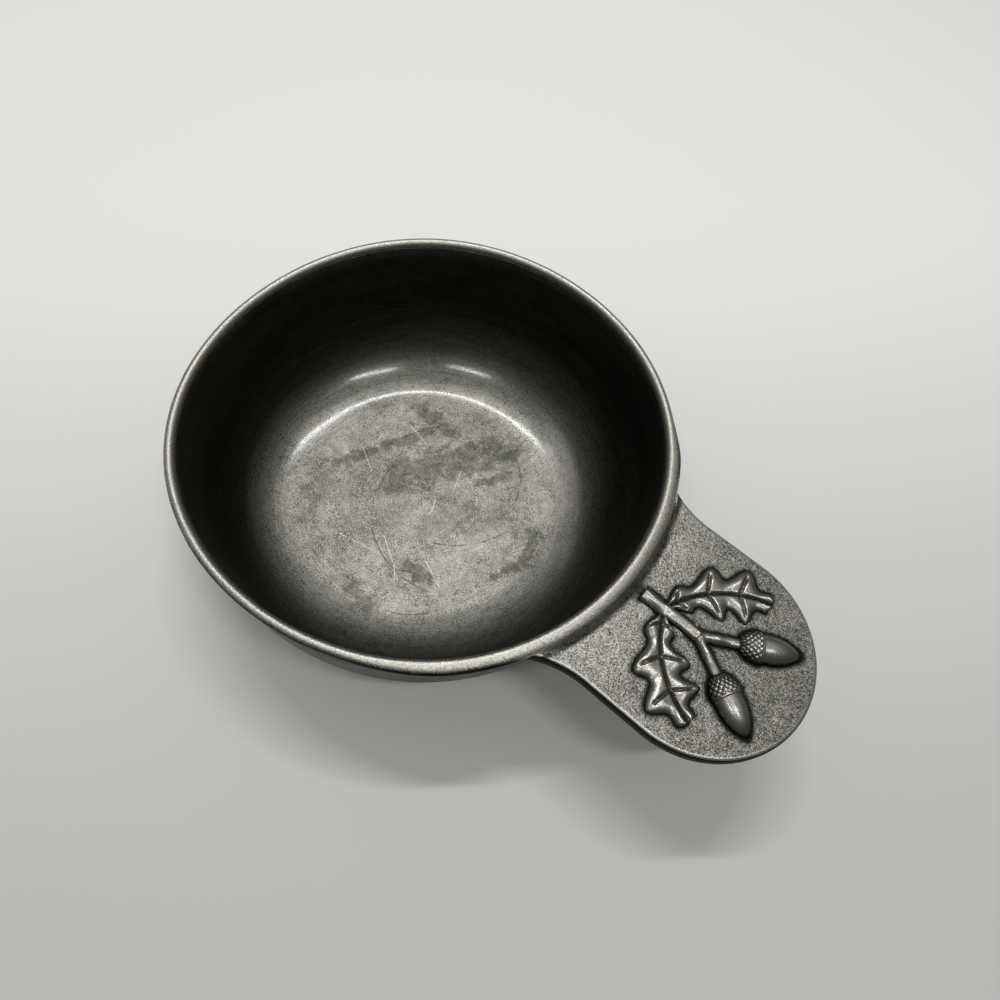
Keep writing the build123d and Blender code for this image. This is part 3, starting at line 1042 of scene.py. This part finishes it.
# %% Bowl finish
def bowl_finish():
    """Satin floor with its grain and marks, a polished corner, black walls inside, patina and a painted dark
    reflection, that are rubbed bare along the lip with a painted sheen there, and patina outside."""
    finish = Finish("bowl_pewter")
    within, reach = finish.mark("within"), finish.mark("reach")
    near_side = finish.near_side()
    fine = finish.noise(0.26 * mm, 2, 0.7)
    middling = finish.noise(2.2 * mm, 4, 0.65)
    broad = finish.noise(13 * mm, 4, 0.6)
    ragged = finish.noise(3.4 * mm, 6, 0.75)
    angle = finish.value.math("ARCTAN2", finish.y, finish.x)
    turning = finish.noise(1.0, 2, 0.6, place=finish.vector(reach / (0.45 * mm), angle * 2.5, 0.0))

    scratches, scores, stains = floor_marks(finish, ragged)
    stains = stains * (2.2 - 1.45 * middling - 0.75 * fine)
    rubbed = most_of([hairlines(finish, turn, seed) for turn, seed in hairline_turns])
    spooned = spooned_band(finish, reach, middling)
    worn = scoured(finish, reach, near_side, middling, broad).most(spooned)
    on_corner, on_wall = reach.step(37 * mm, 41 * mm), reach.step(46 * mm, 54 * mm)

    tone = 0.325 + 2.2 * (fine - 0.5) + 0.35 * (turning - 0.5)
    tone = tone + 0.60 * (middling - 0.5) + 0.70 * (broad - 0.5) + 0.25 * spooned * on_corner
    tone = (tone + 0.10 * rubbed) * (1 - stains) * (1 - 0.85 * scores) + 0.60 * scratches
    wall_tone = 0.52 + 1.9 * (fine - 0.5) + 0.5 * (middling - 0.5) + 0.8 * (turning - 0.5)
    # wear and painted sheen: the top of the inner wall is lighter along the lip, most on the camera's side
    lip_wear_and_sheen = finish.z.step(seat_height - 3.0 * mm, seat_height) * (0.45 + 0.55 * broad.step(0.36, 0.58))
    lip_wear_and_sheen = lip_wear_and_sheen * (0.25 + 0.75 * near_side)
    # patina and painted dark reflection: the inner walls are near black
    inner_wall_patina_and_shade = finish.mix(wall_tone, patina_and_shade_black, patina_and_shade_brown)
    inner_wall_patina_and_shade = finish.mix(lip_wear_and_sheen, inner_wall_patina_and_shade, finish.pewter(tone + 0.45))
    inner = finish.mix(worn, inner_wall_patina_and_shade, finish.pewter(tone))
    colour = finish.mix(within, outer_wall(finish, fine, middling, broad), inner)

    near_wall = near_side * reach.step(33 * mm, 38 * mm)
    roughness = 0.46 - 0.09 * on_corner - 0.05 * on_wall + 0.14 * near_wall
    roughness = roughness + 0.16 * (fine - 0.5) + 0.06 * stains
    polish = within * reach.step(33 * mm, 36 * mm) * reach.step(50 * mm, 45 * mm)
    polish = polish * (0.25 + 0.75 * fine.step(0.38, 0.62))
    finish.shader.inputs["Coat Roughness"].default_value = 0.135
    finish.tree.links.new(polish.socket, finish.shader.inputs["Coat Weight"])
    height = fine * 0.7 + turning * 0.3 - scratches * 0.4 - scores * 0.4
    return finish.done(colour, roughness, height, 0.012 * mm)


bowl_metal = bowl_finish()

# %% [markdown]
# ## Rim, ear, solder and sprig finishes
# The rim is rubbed by every hand: it is bright along its crest and black low on its outer flank, patina with
# a painted shade under the wire; on the camera's side a painted shade darkens its inner flank. The ear
# keeps the speckle of the sand mould, small dark pits between grains that are rubbed bright, with wear and a
# painted highlight on the shoulder of its edge and a painted shade with patina on its side. On the sprig
# the patina stays low, at the foot of each form and in the pressed veins, and the high places are polished
# by touch. Each finish is a few masks from the marks on the mesh, so it follows the form by itself.

# %% Rim finish
def rim_finish():
    """Burnished along the crest, darker on the inner flank of the camera's side, a painted shade, black in
    the score and low on the outer flank, patina with a painted shade, with a fine grain. Beside the ear the
    outer flank is rubbed too."""
    finish = Finish("rim_pewter")
    inward, cut, at_ear = [finish.mark(name) for name in ("inward", "cut", "at_ear")]
    fine = finish.noise(0.40 * mm, 3, 0.8)
    middling = finish.noise(2.6 * mm, 4, 0.65)
    burnished = inward.step(0.12, 0.38).most(0.8 * at_ear) * inward.step(1.35, 0.95)
    # painted shade: the inner flank is darker on the camera's side
    burnished = burnished * (1 - 0.5 * finish.near_side() * inward.step(0.48, 0.72))
    tone = 0.10 + 0.85 * burnished + 3.2 * (fine - 0.5) + 0.40 * (middling - 0.5)
    # painted shade and patina: black low on the outer flank, under the wire
    low_flank_shade_and_patina = inward.step(0.28, 0.08) * (1 - at_ear)
    dark = (0.8 * cut * (1 - at_ear) + low_flank_shade_and_patina + 0.5 * (0.5 - middling)).step(0.15, 0.8)
    colour = finish.mix(dark * 0.92, finish.pewter(tone), patina_and_shade_black)
    roughness = 0.42 + 0.06 * inward.step(0.5, 0.8) + 0.45 * (0.5 - fine) + 0.1 * dark
    return finish.done(colour, roughness, fine + 0.6 * middling, 0.06 * mm)


rim_metal = rim_finish()


# %% Ear finish
def ear_finish():
    """Sand-cast speckle, black in the corner along the sprig, dull in the hollow along the rim, rubbed bright
    on the shoulder of the edge, partly a painted highlight, and black below it, patina with a painted shade."""
    finish = Finish("ear_pewter")
    crevice, rounded = finish.mark("crevice"), finish.mark("rounded")
    speck = finish.noise(0.28 * mm, 2, 0.75)
    patches = finish.noise(6 * mm, 4, 0.65)
    small = finish.noise(1.4 * mm, 3, 0.6)
    # wear and painted highlight on the edge's shoulder; painted shade and patina on its side
    shoulder = rounded.step(0.02, 0.09) * rounded.step(0.24, 0.14)
    side = rounded.step(0.16, 0.26) * rounded.step(0.80, 0.66)
    below = rounded.step(0.66, 0.80)
    by_root = finish.past_rim(17 * mm, 5 * mm)
    tone = 0.325 + 3.0 * (speck - 0.5) + 0.50 * (patches - 0.5) + 0.40 * (small - 0.5)
    tone = tone + 0.70 * shoulder + 0.11 * by_root - 0.10 * below
    near_rim = finish.past_rim(1.4 * mm, 2.0 * mm) * finish.past_rim(3.8 * mm, 2.2 * mm)
    near_rim = near_rim * rounded.step(0.5, 0.2)
    dark = crevice * (0.75 + 0.6 * small) + 0.70 * near_rim * (0.4 + patches)
    dark = dark + 0.25 * speck.step(0.42, 0.32) + (0.5 + 1.1 * small) * side
    dark = dark.step(0.12, 0.80)
    colour = finish.mix(dark * 0.97, finish.pewter(tone), patina_and_shade_black)
    roughness = 0.46 - 0.12 * shoulder + 0.20 * (0.5 - speck) + 0.1 * dark
    return finish.done(colour, roughness, speck, 0.04 * mm)


ear_metal = ear_finish()


# %% Solder finish
def solder_finish():
    """As rubbed as the wire above it, duller where it feathers out on the ear."""
    finish = Finish("solder_pewter")
    speck = finish.noise(0.40 * mm, 3, 0.8)
    dirt = finish.noise(2.4 * mm, 4, 0.7)
    out = finish.past_rim(0.9 * mm, 2.1 * mm)
    tone = 0.66 - 0.36 * out + 1.6 * (speck - 0.5) + 1.2 * (dirt - 0.5)
    roughness = 0.44 + 0.15 * (speck - 0.5)
    return finish.done(finish.pewter(tone), roughness, speck, 0.03 * mm)


solder_metal = solder_finish()


# %% Sprig finish
def sprig_finish():
    """Bright on the heights, grey on the slopes, black at the foot and in the pressed lines, all with a cast
    grain."""
    finish = Finish("sprig_pewter")
    lift, pressed = finish.mark("lift"), finish.mark("pressed")
    speck = finish.noise(0.32 * mm, 3, 0.75)
    small = finish.noise(1.3 * mm, 4, 0.65)
    patches = finish.noise(4 * mm, 3, 0.6)
    tone = 0.22 + 0.42 * lift.step(0.15, 1.0) + 1.15 * (speck - 0.5)
    tone = tone + 0.5 * (small - 0.5) + 0.4 * (patches - 0.5)
    dark = lift.step(0.42, 0.02) + pressed * 0.95 + 0.7 * (0.5 - small) + 0.5 * (0.5 - speck)
    dark = dark.step(0.22, 0.95)
    colour = finish.mix(dark * 0.94, finish.pewter(tone), patina_and_shade_black)
    roughness = 0.29 + 0.22 * (0.5 - speck) + 0.12 * dark
    return finish.done(colour, roughness, speck + 0.5 * small, 0.03 * mm)


sprig_metal = sprig_finish()


# %% [markdown]
# ## Hand over
# Each new piece gets its metal, rides on the part's one body, and stands for its solid, which is hidden.

# %% Hand over
def hand_over(piece, metal, node):
    """Gives a piece its metal and its place in the frame."""
    piece.data.materials.append(metal)
    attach(piece, "root")
    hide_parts(node)


hand_over(bowl, bowl_metal, "bowl_body")
hand_over(rim, rim_metal, "rim_wire")
hand_over(ear, ear_metal, "handle_tab")
hand_over(solder, solder_metal, "handle_solder")
for sprig_piece in sprig:
    hand_over(sprig_piece, sprig_metal, sprig_piece.name.removesuffix("_relief"))
